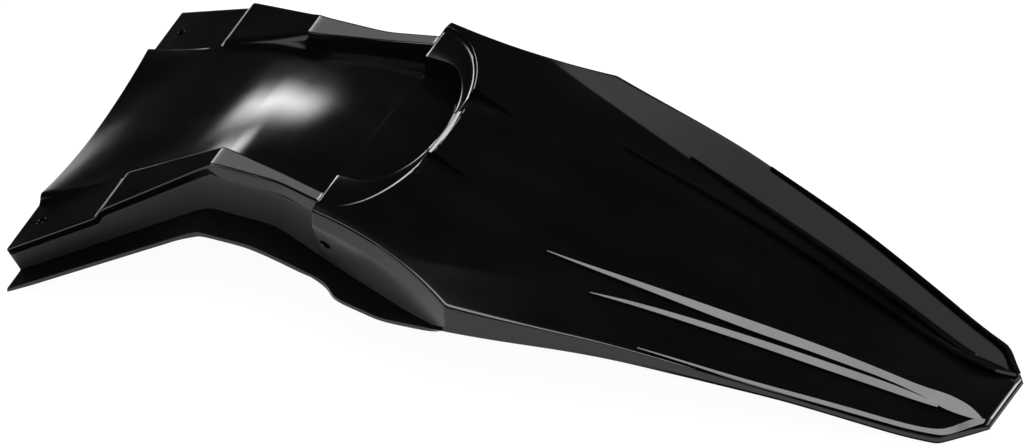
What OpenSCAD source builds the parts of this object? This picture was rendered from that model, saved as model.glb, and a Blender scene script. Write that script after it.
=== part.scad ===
// Rear fender of an off-road motorcycle: one moulded shell, the same on both sides.
// X runs to the rear, Y across and Z up. The origin is on the floor, under the middle of the shell.
// Rows of points run across the shell. Each row starts at the centre plane and passes, in order, the
// wheel dome, the seat recess wall, the seat ledge, the deck, its crease, the outer edge, the side
// wall, the foot of that wall and the flange.

/* [Overall] */
// Length from the front edge to the tail
length = 671; // [655:1:690]
// Thickness of the moulded wall
wall = 2.8; // [2.2:0.1:3.2]
// Width across the flange at the front edge
front_w = 297; // [285:1:310]
// Width across the shoulders, where the deck starts
shoulder_w = 236; // [226:1:242]
// Width across the corners of the deck
corner_w = 290; // [276:1:300]
// Width across the two corners near the tail
tail_corner_w = 116; // [100:1:130]
// Width of the blunt end of the tail
tail_w = 56; // [46:1:66]

/* [Lengthwise places] */
// Distance from the front edge to the notch in the side wall
notch_x = 58; // [48:1:64]
// Distance from the front edge to the start of the seat rims
rim_x = 128; // [122:1:134]
// Distance from the front edge to the front of the shoulders
shoulder_x = 210; // [204:1:214]
// Distance from the front edge to the rear end of the seat recess
recess_x = 256; // [252:1:260]
// Distance from the rear end of the recess to the front of the deck
ledge_run = 6; // [4:0.5:9]
// Distance from the front edge to the corners of the deck
corner_x = 321; // [312:1:330]
// Length of the slanted cut at each side of the tail
tail_cut = 25; // [18:1:32]
// Bow of the outer edges, from the deck's corners to the tail
edge_bow = 5; // [0:0.5:8]

/* [Heights] */
// Height of the deck behind the seat
deck_h = 113; // [108:1:118]
// Fall of the deck line from the seat to the tail, before the tail lifts
deck_fall = 115; // [108:1:117]
// Share of that fall that comes from the bow of the deck
deck_bow = 0.25; // [0.1:0.05:0.4]
// Lift of the last part of the tail
tail_lift = 9; // [7:0.5:12]
// Radius of the deck's crown from side to side
deck_radius = 510; // [450:10:700]
// Share of that crown that fades out behind the seat, where the deck runs flat
deck_flat = 0.85; // [0:0.05:0.95]
// Fall of the side facets at the deck's corners, in millimetres for each millimetre of width
facet_fall = 0.26; // [0.15:0.01:0.32]
// Height of the side wall's top at the front edge
front_h = 36; // [30:1:42]
// Height of the wheel dome's front edge on the centre plane
dome_front_h = 34; // [30:1:40]
// Height of the wheel dome's top
dome_h = 103; // [98:1:104]
// Radius of the dome's crown from side to side
dome_radius = 450; // [400:10:600]
// Height of the seat rims
rim_h = 107; // [106:0.5:110]
// Depth of the step from the deck down to the seat ledge
ledge_step = 2.5; // [1.5:0.1:3.5]

/* [Seat recess] */
// Width of the recess between its side walls
recess_w = 146; // [136:1:152]
// Reach of the oval end of the recess
recess_reach = 30; // [24:1:36]
// Slope of the recess wall, as its run from foot to top
recess_draft = 1.5; // [1:0.1:2]
// Width across the seat rims' outer edges where they start
rim_w = 186; // [180:1:192]
// Width of a seat rim where it starts
rim_ledge = 23; // [18:1:26]

/* [Deck crease and skirt] */
// Distance from the front edge to the start of the crease
crease_x = 273; // [268:1:290]
// Distance from the front edge to the bend in the crease
crease_bend_x = 397; // [380:1:420]
// Width between the creases at that bend
crease_bend_w = 170; // [150:1:185]
// Width between the creases at the tail
crease_tail_w = 54; // [44:1:56]
// Height of the skirt at the deck's corners
skirt_h = 20; // [14:0.5:24]
// Height of the skirt near the tail
skirt_tail_h = 4.5; // [4:0.5:7]
// Height of the upright band under the shoulders
band_h = 13; // [9:0.5:16]

/* [Flange] */
// Width of the flange at the front edge
flange_front = 24; // [18:1:28]
// Width of the flange at the top of the arch
flange_arch = 30; // [24:1:34]
// Height of the flange at the top of the arch
arch_h = 63; // [58:1:66]
// Height of the flange under the shoulders
bulge_h = 53; // [48:1:57]
// Width across the foot of the side walls at the top of the arch
arch_w = 170; // [162:1:176]

/* [Bolt holes] */
// Diameter of the side bolt holes
bolt_d = 8; // [6:0.5:9]
// Diameter of the boss behind each side bolt hole
bolt_boss_d = 16; // [13:0.5:20]
// Depth of that boss, from the outer face of the wall
bolt_boss_h = 9; // [7:0.5:12]
// Distance from the shoulder's front to the side bolt holes
bolt_from_shoulder = 8; // [7:0.5:12]
// Height of the side bolt holes
bolt_h = 78; // [72:1:84]
// Diameter of the front fixing holes
front_hole_d = 6; // [5:0.5:8]
// Diameter of the boss under each front fixing hole
front_boss_d = 13; // [11:0.5:16]
// Depth of that boss, from the outer face of the wall
front_boss_h = 7; // [5:0.5:10]
// Distance from the front edge to the front fixing holes
front_hole_x = 12; // [9:0.5:16]
// Spacing of the front fixing holes across the shell
front_hole_w = 234; // [224:1:244]

/* [Deck pockets] */
// Distance from the front edge to the pockets
pocket_x = 257; // [255:1:264]
// Distance of each pocket from the centre plane, at its front
pocket_y = 39; // [34:1:44]
// Length of a pocket
pocket_len = 38; // [30:1:46]
// Width of a pocket at its front
pocket_w = 28; // [20:1:32]
// Sideways shift of a pocket's narrow end
pocket_skew = 1; // [-4:1:6]
// Depth of a pocket at its front
pocket_depth = 6; // [4:0.5:8]

/* [Hidden] */
$fn = 48;

// Room beside an outer corner, so that the inner faces don't cross there
clear = 1.2 * wall;
step_x = recess_x + ledge_run;
step_run = 1;
tail_corner_x = length - tail_cut;
ledge_h = deck_h - ledge_step;

// Share from 0 to 1 of the way from a to b
function share(a, b, x) = max(0, min(1, (x - a) / (b - a)));
function smooth(a, b, x) = let (t = share(a, b, x)) t * t * (3 - 2 * t);
function blend(a, b, t) = a + (b - a) * t;
// Half width of a slot with an oval end that starts at x0
function oval(x, x0, reach, half) =
    x <= x0 ? half : half * sqrt(max(0, 1 - pow((x - x0) / reach, 2)));

// Height of the deck over its crown
function deck_line(x) =
    let (s = (x - step_x) / (length - step_x))
    deck_h - deck_fall * (s + deck_bow * (s * s - s))
    + tail_lift * pow(share(length - 60, length, x), 2);
function deck_z(x, y) =
    let (flat = deck_flat * smooth(step_x + 20, crease_bend_x, x), c = crease_y(x))
    deck_line(x) - ((1 - flat) * y * y + flat * c * c) / (2 * deck_radius);

// Outer edge of the deck, and before the shoulders that of the seat rims
function rim_edge_y(x) = lookup(x, [
    [0, front_w / 2], [notch_x, front_w / 2 - 17], [rim_x - 6, rim_w / 2 + 2], [rim_x, rim_w / 2],
    [rim_x + 47, rim_w / 2 + 1], [shoulder_x, rim_w / 2 + 11]]);
function rim_edge_z(x) = lookup(x, [
    [0, front_h], [notch_x, front_h + 32], [notch_x + 2, front_h + 38], [rim_x - 6, rim_h - 1],
    [rim_x, rim_h], [shoulder_x, rim_h]]);
function edge_y(x) =
    x < shoulder_x ? rim_edge_y(x)
    : x < corner_x ? blend(shoulder_w / 2, corner_w / 2, pow(share(shoulder_x, corner_x, x), 2.2))
    : x < tail_corner_x ?
        let (t = share(corner_x, tail_corner_x, x))
        blend(corner_w / 2, tail_corner_w / 2, t) + 4 * edge_bow * t * (1 - t)
    : blend(tail_corner_w / 2, tail_w / 2, share(tail_corner_x, length, x));
function crease_y(x) = min(edge_y(x) - 1.4 * clear, lookup(x, [
    [crease_x, edge_y(crease_x)], [crease_bend_x, crease_bend_w / 2],
    [tail_corner_x, crease_tail_w / 2], [length, crease_tail_w / 2 - 6]]));
function facet_slope(x) = facet_fall * (1 - 0.7 * smooth(corner_x - 10, crease_bend_x + 50, x));
function edge_z(x) =
    x < shoulder_x ? rim_edge_z(x)
    : deck_z(x, crease_y(x)) - facet_slope(x) * (edge_y(x) - crease_y(x));

// Wheel dome and pan of the seat recess
function dome_line(x) = lookup(x, [
    [0, dome_front_h], [40, blend(dome_front_h, dome_h, 0.37)], [80, blend(dome_front_h, dome_h, 0.68)],
    [115, blend(dome_front_h, dome_h, 0.88)], [rim_x + 17, blend(dome_front_h, dome_h, 0.98)],
    [rim_x + 42, dome_h], [shoulder_x, dome_h - 2], [recess_x, dome_h - 8]]);
function dome_crown(x) = lookup(x, [[0, -1.1], [50, 0.2], [110, 0.8], [rim_x + 20, 1]]);
function dome_z(x, y) = dome_line(x) - dome_crown(x) * y * y / (2 * dome_radius);

// Inner edge of the seat rims and of the seat ledge
function recess_top_y(x) =
    x < shoulder_x ? lookup(x, [
        [0, front_w / 2 - 56], [notch_x, front_w / 2 - 66], [rim_x, rim_w / 2 - rim_ledge],
        [rim_x + 47, rim_w / 2 - 11], [shoulder_x, rim_w / 2 - 1]])
    : oval(x, recess_x - recess_reach, recess_reach, recess_w / 2);
function recess_foot_y(x) =
    x < shoulder_x ? recess_top_y(x) - recess_draft
    : oval(x, recess_x - recess_reach, recess_reach - recess_draft, recess_w / 2 - recess_draft);
function recess_top_z(x) = x < shoulder_x ? rim_edge_z(x) : ledge_h;

// Step from the seat ledge up to the deck
step_reach = step_x - shoulder_x;
step_half = shoulder_w / 2 - 2.2 * clear;
function step_top_y(x) = oval(x, shoulder_x, step_reach, step_half);
function step_foot_y(x) = oval(x, shoulder_x, step_reach - step_run, step_half - step_run);

// Foot of the side wall and outer edge of the flange
function skirt(x) = lookup(x, [
    [corner_x, skirt_h], [crease_bend_x, blend(skirt_tail_h, skirt_h, 0.6)],
    [crease_bend_x + 150, skirt_tail_h], [length, skirt_tail_h]]);
function foot_y(x) = x >= corner_x ? edge_y(x) : lookup(x, [
    [0, front_w / 2 - flange_front], [rim_x - 8, arch_w / 2], [rim_x + 43, arch_w / 2],
    [shoulder_x, arch_w / 2 + 13], [corner_x - 41, corner_w / 2 - 20], [corner_x - 9, corner_w / 2 - 4],
    [corner_x, corner_w / 2]]);
function foot_z(x) = x >= corner_x ? edge_z(x) - 0.8 * skirt(x) : lookup(x, [
    [0, 3], [rim_x - 8, arch_h + 1], [rim_x + 43, arch_h], [shoulder_x, bulge_h + 4],
    [corner_x - 41, bulge_h], [corner_x - 9, bulge_h + 5], [corner_x, edge_z(corner_x) - 0.8 * skirt_h]]);
function flange_y(x) = x >= corner_x ? edge_y(x) + 0.6 : lookup(x, [
    [0, front_w / 2], [rim_x - 4, arch_w / 2 + flange_arch], [rim_x + 37, arch_w / 2 + flange_arch],
    [shoulder_x - 14, arch_w / 2 + flange_arch + 5], [shoulder_x + 14, arch_w / 2 + flange_arch + 8],
    [shoulder_x + 24, corner_w / 2 - 10], [corner_x - 50, corner_w / 2 - 5], [corner_x, corner_w / 2 + 0.6]]);
function flange_z(x) = x >= corner_x ? edge_z(x) - skirt(x) : lookup(x, [
    [0, wall], [rim_x - 4, arch_h + 2], [rim_x + 37, arch_h + 2], [shoulder_x - 14, arch_h - 1],
    [shoulder_x + 14, bulge_h + 4], [corner_x - 50, bulge_h - 1], [corner_x - 9, bulge_h + 5],
    [corner_x, edge_z(corner_x) - skirt_h]]);

// Upright band under the edge: short on the rims and the skirt, full under the shoulders
function band(x) =
    x < shoulder_x ? 3.2 * wall
    : x < corner_x ? min(band_h, (edge_z(x) - foot_z(x)) / 2)
    : max(1.1 * wall, 0.62 * skirt(x));
function band_in(x) = x < rim_x ? blend(edge_y(x), foot_y(x), band(x) / (edge_z(x) - foot_z(x))) : edge_y(x);

// First point of a row that still lies off the centre plane, past each oval's end
FOOT = 6;
TOP = 7;
STEP_FOOT = 8;
STEP_TOP = 9;
LAST = 20;
function first(x) =
    x >= step_x ? STEP_TOP
    : x >= step_x - step_run ? STEP_FOOT
    : x >= recess_x ? TOP
    : x >= recess_x - recess_draft ? FOOT
    : 0;

// Points from the step to the outer edge, close together where the deck is narrow
function deck_point(x, y) = [y, x < shoulder_x ? rim_edge_z(x) : deck_z(x, y)];
function deck_part(x) =
    let (
        start = x < shoulder_x ? recess_top_y(x) + clear + 1 : step_top_y(x),
        end = x < shoulder_x ? edge_y(x) - rim_clear(x) - 0.4 : crease_y(x)
    )
    [for (t = [0, 0.25, 0.5, 0.75, 0.93, 1]) deck_point(x, blend(start, end, t))];

// Room beside the rim's edge, where the side wall leans in under it
function rim_clear(x) = blend(2.1 * wall, 1.35 * wall, share(rim_x - 40, rim_x, x));

function half_row(x) =
    let (
        pan = [for (t = [0, 0.2, 0.4, 0.6, 0.8, 0.93, 1])
            let (y = t * recess_foot_y(x)) [y, dome_z(x, y)]],
        top = [recess_top_y(x), recess_top_z(x)],
        deck = deck_part(x),
        step_foot = x < shoulder_x
            ? [recess_top_y(x) + clear, rim_edge_z(x)]
            : [step_foot_y(x), deck_z(x, step_foot_y(x)) - ledge_step],
        facet_y = edge_y(x) - (x < shoulder_x ? rim_clear(x) : 1.15 * clear),
        facet_end = blend(deck[5][0], edge_y(x), 0.5),
        facet_pick = x < crease_x + 30 ? facet_y : facet_end,
        facet_z = x < shoulder_x ? rim_edge_z(x)
            : deck[5][1] - facet_slope(x) * (facet_pick - deck[5][0]),
        edge = [edge_y(x), edge_z(x)],
        low = [band_in(x), edge_z(x) - band(x)],
        foot = [foot_y(x), foot_z(x)],
        flange = [flange_y(x), flange_z(x)]
    )
    concat(pan, [top, step_foot], deck, [[facet_pick, facet_z], edge, low, foot,
        (foot + flange) / 2, flange]);

// Places of the rows along the shell, closer where the form turns
gap = 0.5;
stations = concat(
    [for (i = [0 : 3]) notch_x * i / 4],
    [notch_x, notch_x + 2],
    [for (i = [1 : 5]) blend(notch_x + 2, rim_x, i / 5)],
    [for (i = [1 : 4]) blend(rim_x, shoulder_x, i / 5)],
    [shoulder_x - gap - 6, shoulder_x - gap, shoulder_x + gap],
    [blend(shoulder_x, recess_x - recess_reach, 0.5)],
    [for (a = [0 : 15 : 60]) recess_x - recess_reach + (recess_reach - recess_draft) * sin(a)],
    [recess_x - recess_reach + (recess_reach - recess_draft) * sin(75), recess_x - recess_draft, recess_x],
    [blend(recess_x, step_x - step_run, 0.5), step_x - step_run, step_x],
    [for (i = [1 : 7]) blend(step_x, corner_x, i / 8)],
    [corner_x - 2, corner_x + 2],
    [for (i = [1 : 14]) blend(corner_x, tail_corner_x, i / 14)],
    [for (i = [1 : 3]) blend(tail_corner_x, length, i / 4)],
    [length - 0.8, length]);
rows = len(stations);

// The last row lies close to the lower edge, so that the shell turns down round the tail
lip_share = 0.1;
halves = [for (i = [0 : rows - 1]) half_row(stations[i])];
firsts = [for (x = stations) first(x)];

// One point of the outer face: row i, place c across, with points short of the first one at the centre
function outer(i, c) =
    let (
        k = abs(c) <= firsts[i] ? firsts[i] : abs(c),
        side = abs(c) <= firsts[i] ? 0 : sign(c),
        p = halves[i][k],
        low = halves[i][LAST][1]
    )
    [stations[i], side * p[0], i < rows - 1 ? p[1] : blend(low, p[1], lip_share)];
grid = [for (i = [0 : rows - 1]) [for (c = [-LAST : LAST]) outer(i, c)]];

function unit(v) = norm(v) < 1e-9 ? [0, 0, 0] : v / norm(v);
function at(i, c) = grid[max(0, min(rows - 1, i))][max(0, min(2 * LAST, c))];
// Neighbour across the row that isn't at the same place
function beside(i, c, d) =
    let (mid = LAST, f = firsts[i])
    abs(c - mid) <= f ? at(i, mid + d * (f + 1)) : at(i, abs(c + d - mid) <= f ? mid : c + d);
function faces_round(i, c) =
    let (
        p = at(i, c),
        ahead = stations[i] == shoulder_x - gap ? [0, 0, 0] : at(i + 1, c) - p,
        back = stations[i] == shoulder_x + gap ? [0, 0, 0] : p - at(i - 1, c),
        left = beside(i, c, 1) - p,
        right = p - beside(i, c, -1)
    )
    [for (along = [ahead, back]) for (across = [left, right]) unit(cross(along, across))];
function sum(list, k = 0) = k == len(list) ? [0, 0, 0] : list[k] + sum(list, k + 1);
// Inner face: each point moved in along the mean of the faces round it, further at a corner
function inner(i, c) =
    let (
        around = [for (n = faces_round(i, c)) if (norm(n) > 0.5) n],
        n = unit(sum(around)),
        lean = min([for (f = around) n * f]),
        reach = wall / max(0.72, lean),
        p = at(i, c),
        q = p - reach * n
    )
    i == 0 ? [p[0], q[1], q[2]]
    : i == rows - 1 ? [min(q[0], length - wall), q[1], p[2]]
    : abs(stations[i] - shoulder_x) <= gap ? q + [wall, 0, 0]
    : q;

cols = 2 * LAST + 1;
skin = [for (i = [0 : rows - 1]) for (c = [0 : cols - 1]) grid[i][c]];
lining = [for (i = [0 : rows - 1]) for (c = [0 : cols - 1]) inner(i, c)];
floor_z = min([for (p = lining) p[2]]);

// Number of a point, with those that meet at the centre taken as one
function id(i, c) = i * cols + (abs(c - LAST) <= firsts[i] ? LAST : c);
function lower(i, c) = rows * cols + id(i, c);
function quad(a, b, c, d) = [[a, b, c], [a, c, d]];
function whole(list) = [for (f = list) if (f[0] != f[1] && f[1] != f[2] && f[2] != f[0]) f];
upper_faces = [for (i = [0 : rows - 2]) for (c = [0 : cols - 2])
    each whole(quad(id(i, c), id(i, c + 1), id(i + 1, c + 1), id(i + 1, c)))];
lower_faces = [for (i = [0 : rows - 2]) for (c = [0 : cols - 2])
    each whole(quad(lower(i, c), lower(i + 1, c), lower(i + 1, c + 1), lower(i, c + 1)))];
side_faces = [for (i = [0 : rows - 2]) each concat(
    quad(id(i, 0), id(i + 1, 0), lower(i + 1, 0), lower(i, 0)),
    quad(id(i + 1, cols - 1), id(i, cols - 1), lower(i, cols - 1), lower(i + 1, cols - 1)))];
end_faces = [for (c = [0 : cols - 2]) each whole(concat(
    quad(id(0, c + 1), id(0, c), lower(0, c), lower(0, c + 1)),
    quad(id(rows - 1, c), id(rows - 1, c + 1), lower(rows - 1, c + 1), lower(rows - 1, c))))];

module shell() {
    polyhedron(concat(skin, lining), concat(upper_faces, lower_faces, side_faces, end_faces), convexity = 10);
}

// Frame whose Z axis is the outward direction of a face
module along(place, out) {
    translate(place)
    rotate(a = acos(out[2] / norm(out)), v = [-out[1], out[0], 0])
    children();
}

// Point and outward direction of the side wall under a shoulder
function wall_y(x, z) =
    blend(foot_y(x), edge_y(x), share(foot_z(x), edge_z(x) - band(x), z));
bolt_x = shoulder_x + bolt_from_shoulder;
bolt_place = [bolt_x, wall_y(bolt_x, bolt_h), bolt_h];
bolt_out = [wall_y(bolt_x - 2, bolt_h) - wall_y(bolt_x + 2, bolt_h), 4,
    wall_y(bolt_x, bolt_h - 2) - wall_y(bolt_x, bolt_h + 2)];
front_place = [front_hole_x, front_hole_w / 2, rim_edge_z(front_hole_x)];
front_out = [rim_edge_z(front_hole_x - 2) - rim_edge_z(front_hole_x + 2), 0, 4];

module boss(d, depth) {
    translate([0, 0, -depth])
    cylinder(d = d, h = depth - wall / 2);
}

// Hole through the wall and the boss, ending short of the far side of the shell
module bore(d, depth) {
    translate([0, 0, -depth - 3 * wall])
    cylinder(d = d, h = depth + 3 * wall + 10);
}

// Wedge-shaped pocket in the deck, behind each side of the seat ledge. It is deepest at the front
// and its floor rises to the deck at the rear.
pocket_pitch = atan2(deck_line(pocket_x) - deck_line(pocket_x + pocket_len), pocket_len);
pocket_roll = -atan2(pocket_y, deck_radius);
pocket_ramp = atan2(pocket_depth, pocket_len);

module pocket_frame() {
    translate([pocket_x, pocket_y, deck_z(pocket_x, pocket_y)])
    rotate([pocket_roll, pocket_pitch, 0])
    children();
}

module pocket_outline(grow, front) {
    polygon([
        [-front, -pocket_w / 2 - grow], [-front, pocket_w / 2 + grow],
        [pocket_len + grow, pocket_skew + grow], [pocket_len + grow, pocket_skew - grow - 2]]);
}

// Floor and sides under a pocket. The front part stays below the top of the seat ledge.
module pocket_block(front) {
    pocket_frame()
    translate([0, 0, -pocket_depth - wall])
    linear_extrude(pocket_depth + wall / 2)
    pocket_outline(wall, front);
}
module pocket_housing() {
    pocket_block(-ledge_run);
    intersection() {
        pocket_block(wall / 2);
        translate([0, 0, ledge_h - wall / 2 - deck_h])
        cube([length, shoulder_w, deck_h]);
    }
}

module pocket_void() {
    translate([0, 0, -pocket_depth])
    rotate([0, -pocket_ramp, 0])
    linear_extrude(3 * pocket_depth)
    pocket_outline(0, 0);
}

module fender() {
    color("#141414")
    translate([-length / 2, 0, -floor_z])
    difference() {
        union() {
            shell();
            for (side = [0, 1]) mirror([0, side, 0]) {
                along(bolt_place, bolt_out) boss(bolt_boss_d, bolt_boss_h);
                along(front_place, front_out) boss(front_boss_d, front_boss_h);
                pocket_housing();
            }
        }
        for (side = [0, 1]) mirror([0, side, 0]) {
            along(bolt_place, bolt_out) bore(bolt_d, bolt_boss_h);
            along(front_place, front_out) bore(front_hole_d, front_boss_h);
            pocket_frame() pocket_void();
        }
    }
}

fender();
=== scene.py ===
"""Rear fender of an off-road motorcycle, dressed in Blender.

The moulded shell is built again from the sizes of the CAD part, in millimetres, as a cage of rows that
run across it. Loops close to every edge keep those edges crisp, and one subdivision rounds them. The
bosses, bolt holes and deck pockets are then joined and cut, and low ridges are raised along the deck.
"""
import math

import bmesh
import bpy
from mathutils import Matrix, Vector


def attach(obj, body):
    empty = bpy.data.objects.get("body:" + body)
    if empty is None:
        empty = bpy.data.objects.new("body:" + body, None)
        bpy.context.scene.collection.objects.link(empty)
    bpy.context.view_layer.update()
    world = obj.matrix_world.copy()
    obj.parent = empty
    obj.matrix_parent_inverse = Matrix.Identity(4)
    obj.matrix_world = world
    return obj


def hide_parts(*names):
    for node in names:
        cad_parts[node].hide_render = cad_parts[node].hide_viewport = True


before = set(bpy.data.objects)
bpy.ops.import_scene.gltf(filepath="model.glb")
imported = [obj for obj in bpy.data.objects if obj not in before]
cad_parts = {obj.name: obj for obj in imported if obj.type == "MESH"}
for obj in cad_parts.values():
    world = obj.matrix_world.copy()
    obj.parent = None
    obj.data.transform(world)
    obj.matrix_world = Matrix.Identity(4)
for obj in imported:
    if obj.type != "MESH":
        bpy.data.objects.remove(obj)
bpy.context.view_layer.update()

MM = 0.001

# Sizes of the shell, as in the CAD part, in millimetres
LENGTH, WALL = 671.0, 2.8
FRONT_W, SHOULDER_W, CORNER_W, TAIL_CORNER_W, TAIL_W = 297.0, 236.0, 290.0, 116.0, 56.0
NOTCH_X, RIM_X, SHOULDER_X, RECESS_X, LEDGE_RUN = 58.0, 128.0, 210.0, 256.0, 6.0
CORNER_X, TAIL_CUT, EDGE_BOW = 321.0, 25.0, 5.0
DECK_H, DECK_FALL, DECK_BOW, TAIL_LIFT, DECK_RADIUS, DECK_FLAT = 113.0, 115.0, 0.25, 9.0, 510.0, 0.85
FACET_FALL, FRONT_H, DOME_FRONT_H, DOME_H, DOME_RADIUS = 0.26, 36.0, 34.0, 103.0, 450.0
RIM_H, LEDGE_STEP, RECESS_W, RECESS_REACH, RECESS_DRAFT = 107.0, 2.5, 146.0, 30.0, 1.5
RIM_W, RIM_LEDGE = 186.0, 23.0
CREASE_X, CREASE_BEND_X, CREASE_BEND_W, CREASE_TAIL_W = 273.0, 397.0, 170.0, 54.0
SKIRT_H, SKIRT_TAIL_H, BAND_H = 20.0, 4.5, 13.0
FLANGE_FRONT, FLANGE_ARCH, ARCH_H, BULGE_H, ARCH_W = 24.0, 30.0, 63.0, 53.0, 170.0
BOLT_D, BOLT_BOSS_D, BOLT_BOSS_H, BOLT_FROM_SHOULDER, BOLT_H = 8.0, 16.0, 9.0, 8.0, 78.0
FRONT_HOLE_D, FRONT_BOSS_D, FRONT_BOSS_H, FRONT_HOLE_X, FRONT_HOLE_W = 6.0, 13.0, 7.0, 12.0, 234.0
POCKET_X, POCKET_Y, POCKET_LEN, POCKET_W, POCKET_SKEW, POCKET_DEPTH = 257.0, 39.0, 38.0, 28.0, 1.0, 6.0

# Length at the tail over which the deck lifts, and over which it turns down to the end
LIFT_RUN, ROLL_RUN = 60.0, 9.0
# Share of its height that the end loses as it turns down
ROLL_SHARE = 0.85
# Room that the inner face needs between two bends of the shell
CLEAR = 1.2 * WALL
STEP_X = RECESS_X + LEDGE_RUN
TAIL_CORNER_X = LENGTH - TAIL_CUT
LEDGE_H = DECK_H - LEDGE_STEP
# Half the distance between the two rows that form the front of the shoulders
GAP = 0.5


# Lines of the shell along its length
def share(a, b, x):
    return max(0.0, min(1.0, (x - a) / (b - a)))


def ease(a, b, x):
    t = share(a, b, x)
    return t * t * (3 - 2 * t)


def blend(a, b, t):
    return a + (b - a) * t


def fair_line(*points):
    """A smooth line through the points, which never swings past them."""
    xs = [p[0] for p in points]
    ys = [p[1] for p in points]
    runs = [(ys[i + 1] - ys[i]) / (xs[i + 1] - xs[i]) for i in range(len(xs) - 1)]
    slopes = [runs[0]]
    for a, b in zip(runs, runs[1:]):
        slopes.append(0.0 if a * b <= 0 else 2 * a * b / (a + b))
    slopes.append(runs[-1])

    def height(x):
        x = max(xs[0], min(xs[-1], x))
        i = max(k for k in range(len(xs) - 1) if xs[k] <= x or k == 0)
        h = xs[i + 1] - xs[i]
        t = (x - xs[i]) / h
        return (
            ys[i] * (1 + 2 * t) * (1 - t) ** 2
            + ys[i + 1] * t * t * (3 - 2 * t)
            + h * slopes[i] * t * (1 - t) ** 2
            - h * slopes[i + 1] * t * t * (1 - t)
        )

    return height


def soft_line(round_off, *points):
    """Straight lines from point to point, with each bend rounded off over that many millimetres."""
    def straight(x):
        for (xa, ya), (xb, yb) in zip(points, points[1:]):
            if x <= xb:
                return blend(ya, yb, share(xa, xb, x))
        return points[-1][1]

    def height(x):
        x = max(points[0][0], min(points[-1][0], x))
        run = min(round_off, x - points[0][0], points[-1][0] - x)
        return sum(straight(x + run * (k - 4) / 4) for k in range(9)) / 9

    return height


def oval(x, start, reach, half):
    if x <= start:
        return half
    return half * math.sqrt(max(0.0, 1 - ((x - start) / reach) ** 2))


def deck_line(x):
    s = (x - STEP_X) / (LENGTH - STEP_X)
    lift = TAIL_LIFT * share(LENGTH - LIFT_RUN, LENGTH, x) ** 2
    return DECK_H - DECK_FALL * (s + DECK_BOW * (s * s - s)) + lift


def deck_z(x, y):
    flat = DECK_FLAT * ease(STEP_X + 20, CREASE_BEND_X, x)
    return deck_line(x) - ((1 - flat) * y * y + flat * crease_y(x) ** 2) / (2 * DECK_RADIUS)


rim_edge_y = soft_line(
    4, (0, FRONT_W / 2), (NOTCH_X, FRONT_W / 2 - 17), (RIM_X - 6, RIM_W / 2 + 2), (RIM_X, RIM_W / 2),
    (RIM_X + 47, RIM_W / 2 + 1), (SHOULDER_X, RIM_W / 2 + 11))
rim_edge_z = soft_line(
    0.5, (0, FRONT_H), (NOTCH_X, FRONT_H + 32), (NOTCH_X + 2, FRONT_H + 38), (RIM_X - 2.5, RIM_H),
    (SHOULDER_X, RIM_H))


def edge_y(x):
    if x < SHOULDER_X:
        return rim_edge_y(x)
    if x < CORNER_X:
        return blend(SHOULDER_W / 2, CORNER_W / 2, share(SHOULDER_X, CORNER_X, x) ** 2.2)
    if x < TAIL_CORNER_X:
        t = share(CORNER_X, TAIL_CORNER_X, x)
        return blend(CORNER_W / 2, TAIL_CORNER_W / 2, t) + 4 * EDGE_BOW * t * (1 - t)
    return blend(TAIL_CORNER_W / 2, TAIL_W / 2, share(TAIL_CORNER_X, LENGTH, x))


crease_path = fair_line(
    (CREASE_X, edge_y(CREASE_X)), (CREASE_BEND_X, CREASE_BEND_W / 2),
    (TAIL_CORNER_X, CREASE_TAIL_W / 2), (LENGTH, CREASE_TAIL_W / 2 - 6))


def crease_y(x):
    return min(edge_y(x) - 1.4 * CLEAR, crease_path(x))


def facet_slope(x):
    return FACET_FALL * (1 - 0.7 * ease(CORNER_X - 10, CREASE_BEND_X + 50, x))


def edge_z(x):
    if x < SHOULDER_X:
        return rim_edge_z(x)
    return deck_z(x, crease_y(x)) - facet_slope(x) * (edge_y(x) - crease_y(x))


def top_z(x, y):
    """Height of the deck out to its crease, and of the side facet past it."""
    crease = crease_y(x)
    return deck_z(x, min(y, crease)) - facet_slope(x) * max(0.0, y - crease)


dome_line = fair_line(
    (0, DOME_FRONT_H), (40, blend(DOME_FRONT_H, DOME_H, 0.37)), (80, blend(DOME_FRONT_H, DOME_H, 0.68)),
    (115, blend(DOME_FRONT_H, DOME_H, 0.88)), (RIM_X + 17, blend(DOME_FRONT_H, DOME_H, 0.98)),
    (RIM_X + 42, DOME_H), (SHOULDER_X, DOME_H - 2), (RECESS_X, DOME_H - 8))
dome_crown = fair_line((0, -1.1), (50, 0.2), (110, 0.8), (RIM_X + 20, 1))


def dome_z(x, y):
    return dome_line(x) - dome_crown(x) * y * y / (2 * DOME_RADIUS)


rim_inner_y = soft_line(
    5, (0, FRONT_W / 2 - 56), (NOTCH_X, FRONT_W / 2 - 66), (RIM_X, RIM_W / 2 - RIM_LEDGE),
    (RIM_X + 47, RIM_W / 2 - 11), (SHOULDER_X, RIM_W / 2 - 1))


def recess_top_y(x):
    if x < SHOULDER_X:
        return rim_inner_y(x)
    return oval(x, RECESS_X - RECESS_REACH, RECESS_REACH, RECESS_W / 2)


def recess_foot_y(x):
    if x < SHOULDER_X:
        return rim_inner_y(x) - RECESS_DRAFT
    return oval(x, RECESS_X - RECESS_REACH, RECESS_REACH - RECESS_DRAFT, RECESS_W / 2 - RECESS_DRAFT)


def recess_top_z(x):
    return rim_edge_z(x) if x < SHOULDER_X else LEDGE_H


STEP_REACH = STEP_X - SHOULDER_X
STEP_HALF = SHOULDER_W / 2 - 2.2 * CLEAR


def step_top_y(x):
    return oval(x, SHOULDER_X, STEP_REACH, STEP_HALF)


def step_foot_y(x):
    return oval(x, SHOULDER_X, STEP_REACH - 1, STEP_HALF - 1)


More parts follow.
